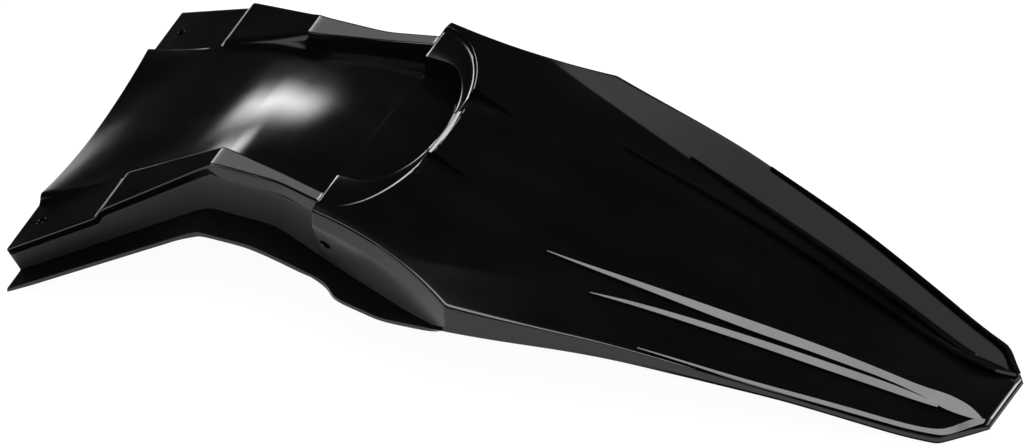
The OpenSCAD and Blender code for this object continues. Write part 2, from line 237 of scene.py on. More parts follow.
skirt = soft_line(
    12, (CORNER_X, SKIRT_H), (CREASE_BEND_X, blend(SKIRT_TAIL_H, SKIRT_H, 0.6)),
    (CREASE_BEND_X + 150, SKIRT_TAIL_H), (LENGTH, SKIRT_TAIL_H))
foot_front_y = soft_line(
    5, (0, FRONT_W / 2 - FLANGE_FRONT), (RIM_X - 8, ARCH_W / 2), (RIM_X + 43, ARCH_W / 2),
    (SHOULDER_X, ARCH_W / 2 + 13), (CORNER_X - 41, CORNER_W / 2 - 20), (CORNER_X - 9, CORNER_W / 2 - 4),
    (CORNER_X, CORNER_W / 2))
foot_front_z = soft_line(
    5, (0, 3), (RIM_X - 8, ARCH_H + 1), (RIM_X + 43, ARCH_H), (SHOULDER_X, BULGE_H + 4),
    (CORNER_X - 41, BULGE_H), (CORNER_X - 9, BULGE_H + 5), (CORNER_X, edge_z(CORNER_X) - 0.8 * SKIRT_H))
flange_front_y = soft_line(
    4, (0, FRONT_W / 2), (RIM_X - 4, ARCH_W / 2 + FLANGE_ARCH), (RIM_X + 37, ARCH_W / 2 + FLANGE_ARCH),
    (SHOULDER_X - 14, ARCH_W / 2 + FLANGE_ARCH + 5), (SHOULDER_X + 14, ARCH_W / 2 + FLANGE_ARCH + 8),
    (SHOULDER_X + 24, CORNER_W / 2 - 10), (CORNER_X - 50, CORNER_W / 2 - 5),
    (CORNER_X, CORNER_W / 2 + 0.6))
flange_front_z = soft_line(
    4, (0, WALL), (RIM_X - 4, ARCH_H + 2), (RIM_X + 37, ARCH_H + 2), (SHOULDER_X - 14, ARCH_H - 1),
    (SHOULDER_X + 14, BULGE_H + 4), (CORNER_X - 50, BULGE_H - 1), (CORNER_X - 9, BULGE_H + 5),
    (CORNER_X, edge_z(CORNER_X) - SKIRT_H))


def foot_y(x):
    return edge_y(x) if x >= CORNER_X else foot_front_y(x)


def foot_z(x):
    return edge_z(x) - 0.8 * skirt(x) if x >= CORNER_X else foot_front_z(x)


def flange_y(x):
    return edge_y(x) + 0.6 if x >= CORNER_X else flange_front_y(x)


def flange_z(x):
    return edge_z(x) - skirt(x) if x >= CORNER_X else flange_front_z(x)


def band(x):
    if x < SHOULDER_X:
        return 3.2 * WALL
    if x < CORNER_X:
        return min(BAND_H, (edge_z(x) - foot_z(x)) / 2)
    return max(1.1 * WALL, 0.62 * skirt(x))


def band_in(x):
    if x < RIM_X:
        return blend(edge_y(x), foot_y(x), band(x) / (edge_z(x) - foot_z(x)))
    return edge_y(x)


# Materials: sums written as plain expressions on wires
class Wire:
    """A value on its way through a tree of nodes. Sums on it add Math nodes."""

    def __init__(self, paint, socket):
        self.paint = paint
        self.socket = socket

    def sum(self, operation, a, b):
        return self.paint.node("ShaderNodeMath", {"operation": operation}, {0: a, 1: b})

    def __add__(self, other):
        return self.sum("ADD", self, other)

    def __radd__(self, other):
        return self.sum("ADD", other, self)

    def __sub__(self, other):
        return self.sum("SUBTRACT", self, other)

    def __rsub__(self, other):
        return self.sum("SUBTRACT", other, self)

    def __mul__(self, other):
        return self.sum("MULTIPLY", self, other)

    def __rmul__(self, other):
        return self.sum("MULTIPLY", other, self)


class Paint:
    """The node tree of a material or of the world."""

    def __init__(self, tree):
        self.tree = tree
        tree.nodes.clear()

    def node(self, kind, settings=None, inputs=None, out=0):
        made = self.tree.nodes.new(kind)
        for name, value in (settings or {}).items():
            if name == "stops":
                while len(made.color_ramp.elements) < len(value):
                    made.color_ramp.elements.new(0.5)
                for stop, (place_on, colour) in zip(made.color_ramp.elements, value):
                    stop.position = place_on
                    stop.color = (*colour, 1.0)
            else:
                setattr(made, name, value)
        for key, value in (inputs or {}).items():
            if isinstance(value, Wire):
                self.tree.links.new(value.socket, made.inputs[key])
            else:
                made.inputs[key].default_value = value
        return Wire(self, made.outputs[out]) if made.outputs else made


def moulded_plastic(name, low, high, shine, peel, peel_size):
    """Black plastic as it leaves the mould, with a faint flow of colour and an uneven skin."""
    material = bpy.data.materials.new(name)
    material.use_nodes = True
    paint = Paint(material.node_tree)
    where = paint.node("ShaderNodeTexCoord", out=3)
    along = paint.node("ShaderNodeMapping", inputs={"Vector": where, "Scale": (6.0, 22.0, 22.0)})
    flow = paint.node("ShaderNodeTexNoise", inputs={"Vector": along, "Scale": 1.0, "Detail": 4.0})
    skin = paint.node("ShaderNodeTexNoise", inputs={"Vector": where, "Scale": peel_size, "Detail": 2.0})
    haze = paint.node("ShaderNodeTexNoise", inputs={"Vector": where, "Scale": 38.0, "Detail": 5.0})
    colour = paint.node("ShaderNodeValToRGB", {"stops": [(0.3, low), (0.7, high)]}, {"Fac": flow})
    rough = shine + (haze - 0.5) * 0.10 + (flow - 0.5) * 0.06
    bump = paint.node("ShaderNodeBump", inputs={"Height": skin, "Strength": 1.0, "Distance": peel})
    shader = paint.node("ShaderNodeBsdfPrincipled", inputs={
        "Base Color": colour, "Roughness": rough, "Normal": bump, "IOR": 1.5})
    paint.node("ShaderNodeOutputMaterial", inputs={"Surface": shader})
    return material


gloss_black = moulded_plastic(
    "gloss_black_plastic", (0.0014, 0.0014, 0.0015), (0.0026, 0.0025, 0.0026), 0.13, 0.000008, 260.0)
satin_black = moulded_plastic(
    "satin_black_underside", (0.006, 0.006, 0.0065), (0.010, 0.010, 0.0105), 0.42, 0.00005, 900.0)
# The side wall's colour is lifted far above the gloss black's: a painted reflection of the pale ground
# the wall faces. Its higher roughness is a real satin finish.
satin_wall_painted_reflection = moulded_plastic(
    "satin_black_wall_painted_reflection", (0.030, 0.030, 0.0305), (0.037, 0.037, 0.0375), 0.34, 0.00002, 700.0)
FINISHES = (gloss_black, satin_black, satin_wall_painted_reflection)
GLOSS, SATIN, SATIN_WALL_PAINTED_REFLECTION = range(3)


# Points of a half row, from the centre plane out
OVALS = [
    (RECESS_X - RECESS_REACH, RECESS_REACH - 2.7, RECESS_W / 2 - 2.7),
    (RECESS_X - RECESS_REACH, RECESS_REACH - RECESS_DRAFT, RECESS_W / 2 - RECESS_DRAFT),
    (RECESS_X - RECESS_REACH, RECESS_REACH, RECESS_W / 2),
    (RECESS_X - RECESS_REACH, RECESS_REACH + 1.0, RECESS_W / 2 + 1.0),
    (SHOULDER_X, STEP_REACH - 2.2, STEP_HALF - 2.2),
    (SHOULDER_X, STEP_REACH - 1, STEP_HALF - 1),
    (SHOULDER_X, STEP_REACH, STEP_HALF),
    (SHOULDER_X, STEP_REACH + 1.0, STEP_HALF + 0.9),
]
PAN = [0, 0.2, 0.4, 0.6, 0.78, 0.91]
FIRST_OVAL = len(PAN)


def tail_roll(x):
    """How far the deck has turned down over the tail's end, from 0 to 1."""
    return 1 - math.sqrt(1 - share(LENGTH - ROLL_RUN, LENGTH, x) ** 2)


def half_row(x):
    pan_end = oval(x, *OVALS[0]) if x >= SHOULDER_X else recess_foot_y(x) - 1.2
    row = [(t * pan_end, dome_z(x, t * pan_end)) for t in PAN]
    row.append((pan_end, dome_z(x, pan_end)))
    row.append((recess_foot_y(x), dome_z(x, recess_foot_y(x))))
    if x < SHOULDER_X:
        inner, outer, z = recess_top_y(x), edge_y(x), rim_edge_z(x)
        width = outer - inner
        places = [0.0, 1.8 / width]
        places += [blend(1.8 / width, 1 - 2.2 / width, k / 16) for k in range(1, 17)]
        row += [(blend(inner, outer, t), z) for t in places]
    else:
        rings = [oval(x, *o) for o in OVALS]
        ledge = deck_z(x, rings[5]) - LEDGE_STEP
        across = max(rings[5] - rings[2], 0.01)
        row.append((rings[2], LEDGE_H))
        row.append((rings[3], blend(LEDGE_H, ledge, share(0, across, rings[3] - rings[2]))))
        row.append((rings[4], blend(LEDGE_H, ledge, share(0, across, rings[4] - rings[2]))))
        row.append((rings[5], ledge))
        row.append((rings[6], deck_z(x, rings[6])))
        row.append((rings[7], deck_z(x, rings[7])))
        crease, edge = crease_y(x), edge_y(x)
        places = [blend(rings[7], crease, t) for t in (0.14, 0.29, 0.44, 0.58, 0.72, 0.85, 0.95)]
        room = edge - crease
        places += [crease - 0.5, crease + 0.5, crease + 0.3 * room, crease + 0.6 * room,
                   edge - min(2.0, 0.3 * room)]
        row += [(y, top_z(x, y)) for y in places]
    high = edge_z(x)
    low_y, low_z = band_in(x), high - band(x)
    drop = 2.0 / max(band(x), 4.5)
    row.append((edge_y(x), high))
    row.append((blend(edge_y(x), low_y, drop), blend(high, low_z, drop)))
    row.append((blend(edge_y(x), low_y, 1 - drop), blend(high, low_z, 1 - drop)))
    row.append((low_y, low_z))
    foot, rim = (foot_y(x), foot_z(x)), (flange_y(x), flange_z(x))
    for t in (0.15, 0.5, 0.85, 1.0):
        row.append((blend(low_y, foot[0], t), blend(low_z, foot[1], t)))
    for t in (0.1, 0.5, 0.9, 1.0):
        row.append((blend(foot[0], rim[0], t), blend(foot[1], rim[1], t)))
    low = rim[1]
    return [(y, z - ROLL_SHARE * tail_roll(x) * (z - low)) for y, z in row]


def first_open(x):
    """The first column that still lies off the centre plane, past each oval's end."""
    ended = [k for k, (start, reach, half) in enumerate(OVALS) if x >= start + reach]
    return FIRST_OVAL + max(ended) if ended else 0


def spread(a, b, count, last=False):
    return [blend(a, b, k / count) for k in range(count + (1 if last else 0))]


def cage_rows():
    rows = [0.0, 1.8] + spread(8, 52, 6) + [52.0, 56.0, 58.0, 59.0, 60.0, 62.0] + spread(67, 118, 8)
    rows += [118.0, 124.7, 125.5, 126.3, 131.0] + spread(138, 202, 8) + [202.0, 206.5, 208.4, 209.5]
    rows += [210.5, 211.8, 215.0, 220.0, 226.0] + spread(230, 246, 4) + [246.0, 249.0, 251.0, 252.0]
    rows += [start + reach for start, reach, half in OVALS]
    rows += [255.0, 258.4, 260.4, 261.6, 265.0]
    rows += spread(268, 314, 7) + [314.0, 318.5, 321.0, 323.5, 328.0] + spread(337, 636, 30)
    rows += [636.0, 642.0, 646.0, 650.0, 656.0, 661.5, 666.0, 669.0, 670.2, 671.0]
    return sorted(set(round(x, 3) for x in rows))


# Lining: the inner face, set off from a plain version of the same shell
PLAIN_LAST = 20


def plain_row(x):
    half_pan = recess_foot_y(x)
    pan = [(t * half_pan, dome_z(x, t * half_pan)) for t in (0, 0.2, 0.4, 0.6, 0.8, 0.93, 1)]
    top = (recess_top_y(x), recess_top_z(x))
    rim_room = blend(2.1 * WALL, 1.35 * WALL, share(RIM_X - 40, RIM_X, x))
    if x < SHOULDER_X:
        step = (recess_top_y(x) + CLEAR, rim_edge_z(x))
        start, end = recess_top_y(x) + CLEAR + 1, edge_y(x) - rim_room - 0.4
    else:
        step = (step_foot_y(x), deck_z(x, step_foot_y(x)) - LEDGE_STEP)
        start, end = step_top_y(x), crease_y(x)
    deck = []
    for t in (0, 0.25, 0.5, 0.75, 0.93, 1):
        y = blend(start, end, t)
        deck.append((y, rim_edge_z(x) if x < SHOULDER_X else deck_z(x, y)))
    facet = edge_y(x) - (rim_room if x < SHOULDER_X else 1.15 * CLEAR)
    if x >= CREASE_X + 30:
        facet = blend(deck[5][0], edge_y(x), 0.5)
    facet_z = rim_edge_z(x) if x < SHOULDER_X else deck[5][1] - facet_slope(x) * (facet - deck[5][0])
    foot, rim = (foot_y(x), foot_z(x)), (flange_y(x), flange_z(x))
    middle = ((foot[0] + rim[0]) / 2, (foot[1] + rim[1]) / 2)
    return pan + [top, step] + deck + [
        (facet, facet_z), (edge_y(x), edge_z(x)), (band_in(x), edge_z(x) - band(x)), foot, middle, rim]


def plain_rows():
    reach = RECESS_REACH - RECESS_DRAFT
    rows = spread(0, NOTCH_X, 4) + [NOTCH_X, NOTCH_X + 2] + spread(NOTCH_X + 2, RIM_X, 5, True)[1:]
    rows += spread(RIM_X, SHOULDER_X, 5)[1:] + [SHOULDER_X - GAP - 6, SHOULDER_X - GAP, SHOULDER_X + GAP]
    rows += [blend(SHOULDER_X, RECESS_X - RECESS_REACH, 0.5)]
    for angle in (0, 15, 30, 45, 60, 75):
        rows.append(RECESS_X - RECESS_REACH + reach * math.sin(math.radians(angle)))
    rows += [RECESS_X - RECESS_DRAFT, RECESS_X, blend(RECESS_X, STEP_X - 1, 0.5), STEP_X - 1, STEP_X]
    rows += spread(STEP_X, CORNER_X, 8)[1:] + [CORNER_X - 2, CORNER_X + 2]
    rows += spread(CORNER_X, TAIL_CORNER_X, 14, True)[1:] + spread(TAIL_CORNER_X, LENGTH, 4)[1:]
    return rows + [LENGTH - 0.8, LENGTH]


def plain_first(x):
    for limit, column in ((STEP_X, 9), (STEP_X - 1, 8), (RECESS_X, 7), (RECESS_X - RECESS_DRAFT, 6)):
        if x >= limit:
            return column
    return 0


def lining_grid():
    xs = plain_rows()
    halves = [plain_row(x) for x in xs]
    firsts = [plain_first(x) for x in xs]
    last = len(xs) - 1

    def place(i, c):
        k, side = max(abs(c), firsts[i]), (0 if abs(c) <= firsts[i] else math.copysign(1, c))
        y, z = halves[i][k]
        return Vector((xs[i], side * y, z if i < last else blend(halves[i][PLAIN_LAST][1], z, 0.1)))

    def at(i, c):
        return place(max(0, min(last, i)), max(-PLAIN_LAST, min(PLAIN_LAST, c)))

    def beside(i, c, d):
        if abs(c) <= firsts[i]:
            return at(i, d * (firsts[i] + 1))
        return at(i, 0 if abs(c + d) <= firsts[i] else c + d)

    grid = []
    for i, x in enumerate(xs):
        row = []
        for c in range(-PLAIN_LAST, PLAIN_LAST + 1):
            p = at(i, c)
            ahead = Vector() if x == SHOULDER_X - GAP else at(i + 1, c) - p
            back = Vector() if x == SHOULDER_X + GAP else p - at(i - 1, c)
            around = []
            for down in (ahead, back):
                for over in (beside(i, c, 1) - p, p - beside(i, c, -1)):
                    face = down.cross(over)
                    if face.length > 1e-9:
                        around.append(face.normalized())
            out = sum(around, Vector()).normalized()
            lean = min(out.dot(face) for face in around)
            q = p - out * (WALL / max(0.72, lean))
            if i == 0:
                q.x = p.x
            elif i == last:
                q = Vector((min(q.x, LENGTH - WALL), q.y, p.z))
            elif abs(x - SHOULDER_X) <= GAP:
                q.x += WALL
            row.append(q)
        grid.append(row)
    return xs, grid


# Place in the plain row that each column of the cage takes its lining from
LINING_COLUMN = (
    [0, 1, 2, 3, 4, 5, 5.7, 6, 7, 7.07, 7.9, 8, 9, 9.15, 10, 10.9, 11, 12, 12.3, 13, 13.7, 13.9, 14.1]
    + [14.5, 15, 15.7, 16, 16.2, 16.8, 17, 17.15, 17.5, 17.85, 18, 18.2, 19, 19.8, 20])
# Columns of the side wall, from the band under the outer edge to the wall's foot; ahead of the corner
# they carry the painted reflection
WALL_COLUMNS = (29, 33)
# Columns of the rim's top, and the row where it bends from its slope to level
RIM_COLUMNS = range(8, 26)
RIM_BEND_X = RIM_X - 2.5
# How firmly the free edges hold their place when the cage is rounded
EDGE_HOLD = 0.55


def build_shell():
    xs = cage_rows()
    rows = [half_row(x) for x in xs]
    firsts = [first_open(x) for x in xs]
    last = len(rows[0]) - 1
    plain_x, plain = lining_grid()
    low_point = min(p.z for row in plain for p in row)
    mesh = bmesh.new()
    crease = mesh.edges.layers.float.new("crease_edge")

    def skin_point(i, c):
        y, z = rows[i][abs(c)]
        if abs(c) <= firsts[i]:
            y, z = 0.0, rows[i][firsts[i]][1]
        if i == len(xs) - 1:
            z = blend(rows[i][last][1], z, 0.1)
        return Vector((xs[i], math.copysign(y, c), z))

    def lining_point(i, c):
        k = max(j for j in range(len(plain_x) - 1) if plain_x[j] <= xs[i])
        t = share(plain_x[k], plain_x[k + 1], xs[i])
        place = math.copysign(LINING_COLUMN[abs(c)], c) + PLAIN_LAST
        a = min(int(place), 2 * PLAIN_LAST - 1)
        s = place - a
        front = plain[k][a].lerp(plain[k][a + 1], s)
        rear = plain[k + 1][a].lerp(plain[k + 1][a + 1], s)
        q = front.lerp(rear, t)
        if c == 0 or abs(c) <= firsts[i]:
            q.y = 0.0
        return q

    def sheet(point):
        grid = []
        for i in range(len(xs)):
            centre = mesh.verts.new(point(i, 0) if not firsts[i] else point(i, firsts[i]))
            row = {}
            for c in range(-last, last + 1):
                row[c] = centre if abs(c) <= firsts[i] else mesh.verts.new(point(i, c))
            grid.append(row)
        return grid

    def face(*corners):
        ring = [v for k, v in enumerate(corners) if v is not corners[k - 1]]
        if len(set(ring)) > 2:
            return mesh.faces.new(ring)

    skin, lining = sheet(skin_point), sheet(lining_point)
    for i in range(len(xs) - 1):
        for c in range(-last, last):
            outer = face(skin[i][c], skin[i + 1][c], skin[i + 1][c + 1], skin[i][c + 1])
            # The side wall ahead of the corner takes the lighter material, whose colour is a painted
            # reflection
            on_wall = WALL_COLUMNS[0] <= min(abs(c), abs(c + 1)) < WALL_COLUMNS[1]
            if outer and on_wall and xs[i] < CORNER_X:
                outer.material_index = SATIN_WALL_PAINTED_REFLECTION
            inner = face(lining[i][c + 1], lining[i + 1][c + 1], lining[i + 1][c], lining[i][c])
            if inner:
                inner.material_index = SATIN
        face(skin[i][-last], lining[i][-last], lining[i + 1][-last], skin[i + 1][-last])
        face(skin[i][last], skin[i + 1][last], lining[i + 1][last], lining[i][last])
    end = len(xs) - 1
    for c in range(-last, last):
        face(skin[0][c], skin[0][c + 1], lining[0][c + 1], lining[0][c])
        face(skin[end][c], lining[end][c], lining[end][c + 1], skin[end][c + 1])
    for grid in (skin, lining):
        for i in range(end):
            for c in (-last, last):
                edge = mesh.edges.get((grid[i][c], grid[i + 1][c]))
                edge[crease] = EDGE_HOLD
        for i in (0, end):
            for c in range(-last, last):
                if grid[i][c] is not grid[i][c + 1]:
                    mesh.edges.get((grid[i][c], grid[i][c + 1]))[crease] = EDGE_HOLD
    bend = skin[xs.index(RIM_BEND_X)]
    for c in RIM_COLUMNS:
        for side in (1, -1):
            mesh.edges.get((bend[side * c], bend[side * (c + 1)]))[crease] = 1.0
    place = Matrix.Scale(MM, 4) @ Matrix.Translation((-LENGTH / 2, 0, -low_point))
    bmesh.ops.transform(mesh, matrix=place, verts=mesh.verts)
    bmesh.ops.recalc_face_normals(mesh, faces=mesh.faces)
    data = bpy.data.meshes.new("fender_shell")
    mesh.to_mesh(data)
    mesh.free()
    for finish in FINISHES:
        data.materials.append(finish)
    shell = bpy.data.objects.new("fender_shell", data)
    bpy.context.scene.collection.objects.link(shell)
    return shell, place


def finish_mesh(piece):
    """Works a piece's modifiers into its mesh and takes them off."""
    bpy.context.view_layer.update()
    done = piece.evaluated_get(bpy.context.evaluated_depsgraph_get())
    data = bpy.data.meshes.new_from_object(done)
    piece.modifiers.clear()
    piece.data = data


# Bosses, holes and pockets
def loft(name, frame_of, finish, *rings):
    """Closed solids through rings of points in one frame, on both sides of the shell."""
    mesh = bmesh.new()
    for side in (1, -1):
        loops = []
        for ring in rings:
            points = [frame_of @ Vector(p) for p in ring]
            loops.append([mesh.verts.new((q.x, side * q.y, q.z)) for q in points])
        for a, b in zip(loops, loops[1:]):
            for k in range(len(a)):
                mesh.faces.new((a[k - 1], a[k], b[k], b[k - 1]))
        mesh.faces.new(loops[0])
        mesh.faces.new(loops[-1])
    bmesh.ops.transform(mesh, matrix=place, verts=mesh.verts)
    bmesh.ops.recalc_face_normals(mesh, faces=mesh.faces)
    for f in mesh.faces:
        f.material_index = finish
    data = bpy.data.meshes.new(name)
    mesh.to_mesh(data)
    mesh.free()
    for coat in FINISHES:
        data.materials.append(coat)
    piece = bpy.data.objects.new(name, data)
    bpy.context.scene.collection.objects.link(piece)
    return piece


def circle(radius, z, count=48):
    return [(radius * math.cos(2 * math.pi * k / count), radius * math.sin(2 * math.pi * k / count), z)
            for k in range(count)]


def facing(point, out):
    """Frame at a point whose Z axis is the outward direction of the face there."""
    turn = Vector((0, 0, 1)).rotation_difference(Vector(out)).to_matrix().to_4x4()
    return Matrix.Translation(point) @ turn


def wall_y(x, z):
    """Half width of the side wall's outer face at a height."""
    return blend(foot_y(x), edge_y(x), share(foot_z(x), edge_z(x) - band(x), z))


def pocket_outline(grow, front, z):
    """The wedge of a deck pocket, seen from above, grown and run out in front."""
    return [
        (-front, -POCKET_W / 2 - grow, z), (-front, POCKET_W / 2 + grow, z),
        (POCKET_LEN + grow, POCKET_SKEW + grow, z), (POCKET_LEN + grow, POCKET_SKEW - grow - 2, z)]


shell, place = build_shell()
smoother = shell.modifiers.new("Round edges", "SUBSURF")
smoother.levels = smoother.render_levels = 1
finish_mesh(shell)

bolt_x = SHOULDER_X + BOLT_FROM_SHOULDER
bolt_frame = facing(
    (bolt_x, wall_y(bolt_x, BOLT_H), BOLT_H),
    (wall_y(bolt_x - 2, BOLT_H) - wall_y(bolt_x + 2, BOLT_H), 4,
     wall_y(bolt_x, BOLT_H - 2) - wall_y(bolt_x, BOLT_H + 2)))
front_frame = facing(
    (FRONT_HOLE_X, FRONT_HOLE_W / 2, rim_edge_z(FRONT_HOLE_X)),
    (rim_edge_z(FRONT_HOLE_X - 2) - rim_edge_z(FRONT_HOLE_X + 2), 0, 4))
pitch = math.atan2(deck_line(POCKET_X) - deck_line(POCKET_X + POCKET_LEN), POCKET_LEN)
pocket_frame = (
    Matrix.Translation((POCKET_X, POCKET_Y, deck_z(POCKET_X, POCKET_Y)))
    @ Matrix.Rotation(pitch, 4, "Y") @ Matrix.Rotation(-math.atan2(POCKET_Y, DECK_RADIUS), 4, "X"))

ramp = Matrix.Rotation(-math.atan2(POCKET_DEPTH, POCKET_LEN), 4, "Y")


def boss(name, frame_of, d, depth):
    """A boss under the wall on each side, with its lower end chamfered."""
    return loft(name, frame_of, SATIN, circle(d / 2 - 0.6, -depth), circle(d / 2, 0.6 - depth),
                circle(d / 2, -WALL / 2))


def hole(name, frame_of, d, depth):
    """A hole through the wall and the boss on each side, with a small chamfer at its mouth."""
    return loft(name, frame_of, GLOSS, circle(d / 2, -depth - 3 * WALL), circle(d / 2, -0.5),
                circle(d / 2 + 0.5, 0), circle(d / 2 + 4, 3.5))


def pocket_block(name, front, low, high):
    """A block under each pocket, which becomes its floor and its walls."""
    return loft(name, pocket_frame, SATIN, pocket_outline(WALL, front, low),
                pocket_outline(WALL, front, high))


def ramp_outline():
    """The pocket's floor: deep in front, and level with the deck at its rear end."""
    return [tuple((ramp @ Vector(p)) - Vector((0, 0, POCKET_DEPTH))) for p in pocket_outline(0, 0, 0)]


under = -POCKET_DEPTH - WALL
joined = [
    boss("bolt_bosses", bolt_frame, BOLT_BOSS_D, BOLT_BOSS_H),
    boss("front_bosses", front_frame, FRONT_BOSS_D, FRONT_BOSS_H),
    pocket_block("pocket_floors", WALL / 2, under, -LEDGE_STEP - WALL / 2),
    pocket_block("pocket_sides", -LEDGE_RUN, under + 0.4, -WALL / 2),
]
cut = [
    hole("bolt_holes", bolt_frame, BOLT_D, BOLT_BOSS_H),
    hole("front_holes", front_frame, FRONT_HOLE_D, FRONT_BOSS_H),
    loft("pocket_voids", pocket_frame, GLOSS, ramp_outline(), pocket_outline(0.0, 0, -0.4),
         pocket_outline(0.5, 0.5, 0.1), pocket_outline(6, 6, 5.6)),
]
for operation, tools in (("UNION", joined), ("DIFFERENCE", cut)):
    for tool in tools:
        step = shell.modifiers.new(tool.name, "BOOLEAN")
        step.operation = operation
        step.object = tool
        step.solver = "MANIFOLD"
        finish_mesh(shell)
        bpy.data.objects.remove(tool)
for p in shell.data.polygons:
    p.use_smooth = True
shell.data.set_sharp_from_angle(angle=math.radians(38))
# The rim's bend stays crisp from side to side
bend_at = place @ Vector((RIM_BEND_X, 0, RIM_H - 2))
for edge in shell.data.edges:
    ends = [shell.data.vertices[v].co for v in edge.vertices]
    if all(abs(p.x - bend_at.x) < 0.05 * MM and p.z > bend_at.z for p in ends):
        edge.use_edge_sharp = True


# Ridges moulded on the deck: each falls away outwards, from a crest to a foot. A line is given by its
# distances from the front edge and from the centre plane
MIDDLE_RIDGE = (
    fair_line((361, 64.4), (420, 56.2), (495, 44.4), (560, 32.0), (606, 24.4), (639, 20.6), (650, 21.4),
              (658, 23.8), (664, 26.8), (665.5, 27.8)),
    fair_line((361, 64.5), (420, 59.4), (495, 50.8), (560, 38.0), (606, 29.6), (622, 28.6), (639, 30.8),
              (663, 29.0), (665.5, 28.4)))
CREASE_RIDGE = (
    fair_line((401, 84.2), (430, 75.6), (502, 58.2), (560, 44.8), (609, 33.2), (622, 31.0), (634, 30.0)),
    fair_line((401, 84.3), (430, 77.8), (502, 62.6), (560, 50.0), (609, 38.0), (622, 34.8), (634, 32.2)))
EDGE_RIDGE = (
    fair_line((448, 112.2), (516, 94.9), (587, 72.2), (615, 63.0), (641, 53.8), (646, 51.0), (663, 29.6),
              (667, 27.6)),
    fair_line((448, 112.4), (516, 96.7), (587, 75.2), (615, 66.0), (641, 57.4), (646, 55.6), (663, 35.4),
              (667, 30.4)))

# Fall of a ridge for each millimetre of its width, and its thickness, in millimetres
RIDGE_FALL, RIDGE_THICK = 0.36, 2.0


def ridge_ribbons():
    """Ribbons on the deck that the ridges rise from, with each point's width and place across."""
    mesh = bmesh.new()
    width_of = mesh.verts.layers.float.new("ridge_width")
    across = mesh.verts.layers.float.new("across")
    for (inner, outer), start, end in (
            (MIDDLE_RIDGE, 361, 665.5), (CREASE_RIDGE, 401, 634), (EDGE_RIDGE, 448, 667)):
        count = int((end - start) / 4)
        for side in (1, -1):
            before = None
            for k in range(count + 1):
                x = blend(start, end, k / count)
                a, b = inner(x), max(outer(x), inner(x) + 0.1)
                foot = top_z(x, b)
                row = []
                for y, t in ((a, 1.0), (b + 0.4, -0.4 / (b - a))):
                    vert = mesh.verts.new(place @ Vector((x, side * y, foot)))
                    vert[width_of] = (b - a) * MM
                    vert[across] = t
                    row.append(vert)
                if before:
                    ring = (before[0], row[0], row[1], before[1])
                    mesh.faces.new(ring[::-1] if side > 0 else ring)
                before = row
    for f in mesh.faces:
        f.normal_update()
        if f.normal.z < 0:
            f.normal_flip()
    data = bpy.data.meshes.new("deck_ridges")
    mesh.to_mesh(data)
    mesh.free()
    ribbons = bpy.data.objects.new("deck_ridges", data)
    bpy.context.scene.collection.objects.link(ribbons)
    return ribbons


def ridge_tree():
    """Nodes that tip each ribbon up to its crest and thicken it along its own normals."""
    tree = bpy.data.node_groups.new("Raised ridge", "GeometryNodeTree")
    face = tree.interface
    face.new_socket("Ribbons", in_out="INPUT", socket_type="NodeSocketGeometry")
    for name in ("Fall", "Thickness"):
        face.new_socket(name, in_out="INPUT", socket_type="NodeSocketFloat")
    face.new_socket("Plastic", in_out="INPUT", socket_type="NodeSocketMaterial")
    face.new_socket("Ridges", in_out="OUTPUT", socket_type="NodeSocketGeometry")

    def add(kind, links, **settings):
        node = tree.nodes.new(kind)
        for name, value in settings.items():
            setattr(node, name, value)
        for key, value in links.items():
            if hasattr(value, "links"):
                tree.links.new(value, node.inputs[key])
            else:
                node.inputs[key].default_value = value
        return node

    given = add("NodeGroupInput", {}).outputs
    width_here, across_here = [
        add("GeometryNodeInputNamedAttribute", {"Name": name}, data_type="FLOAT").outputs[0]
        for name in ("ridge_width", "across")]
    share_up = add("ShaderNodeMath", {0: width_here, 1: across_here}, operation="MULTIPLY").outputs[0]
    rise = add("ShaderNodeMath", {0: share_up, 1: given["Fall"]}, operation="MULTIPLY").outputs[0]
    lift = add("ShaderNodeCombineXYZ", {"Z": rise}).outputs[0]
    tipped = add("GeometryNodeSetPosition", {"Geometry": given["Ribbons"], "Offset": lift}).outputs[0]
    top = add("GeometryNodeExtrudeMesh", {
        "Mesh": tipped, "Offset Scale": given["Thickness"], "Individual": False}).outputs["Mesh"]
    under = add("GeometryNodeFlipFaces", {"Mesh": tipped}).outputs[0]
    both = tree.nodes.new("GeometryNodeJoinGeometry")
    for part in (under, top):
        tree.links.new(part, both.inputs[0])
    closed = add("GeometryNodeMergeByDistance", {
        "Geometry": both.outputs[0], "Distance": 0.000001}).outputs[0]
    whole = add("GeometryNodeRealizeInstances", {"Geometry": closed}).outputs[0]
    coated = add("GeometryNodeSetMaterial", {
        "Geometry": whole, "Material": given["Plastic"]}).outputs[0]
    add("NodeGroupOutput", {"Ridges": coated})
    return tree


ridges = ridge_ribbons()
raised = ridges.modifiers.new("Raised ridge", "NODES")
raised.node_group = ridge_tree()
sockets = {item.name: item.identifier for item in raised.node_group.interface.items_tree}
raised[sockets["Fall"]] = RIDGE_FALL
raised[sockets["Thickness"]] = RIDGE_THICK * MM
raised[sockets["Plastic"]] = gloss_black
finish_mesh(ridges)
for p in ridges.data.polygons:
    p.use_smooth = True
ridges.data.set_sharp_from_angle(angle=math.radians(20))

for piece in (shell, ridges):
    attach(piece, "root")
    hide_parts("fender")


# Floor, world and lamps
def stage_sheet(name, corners, material_name):
    """A flat sheet of the stage, in metres, and the tree of its material."""
    data = bpy.data.meshes.new(name)
    data.from_pydata(corners, [], [(0, 1, 2, 3)])
    sheet = bpy.data.objects.new(name, data)
    bpy.context.scene.collection.objects.link(sheet)
    material = bpy.data.materials.new(material_name)
    material.use_nodes = True
    data.materials.append(material)
    return sheet, Paint(material.node_tree)


def rays(paint, *kinds):
    """1 where a ray is of one of three kinds, and 0 elsewhere."""
    first, second, third = [paint.node("ShaderNodeLightPath", out="Is %s Ray" % kind) for kind in kinds]
    return first + second + third


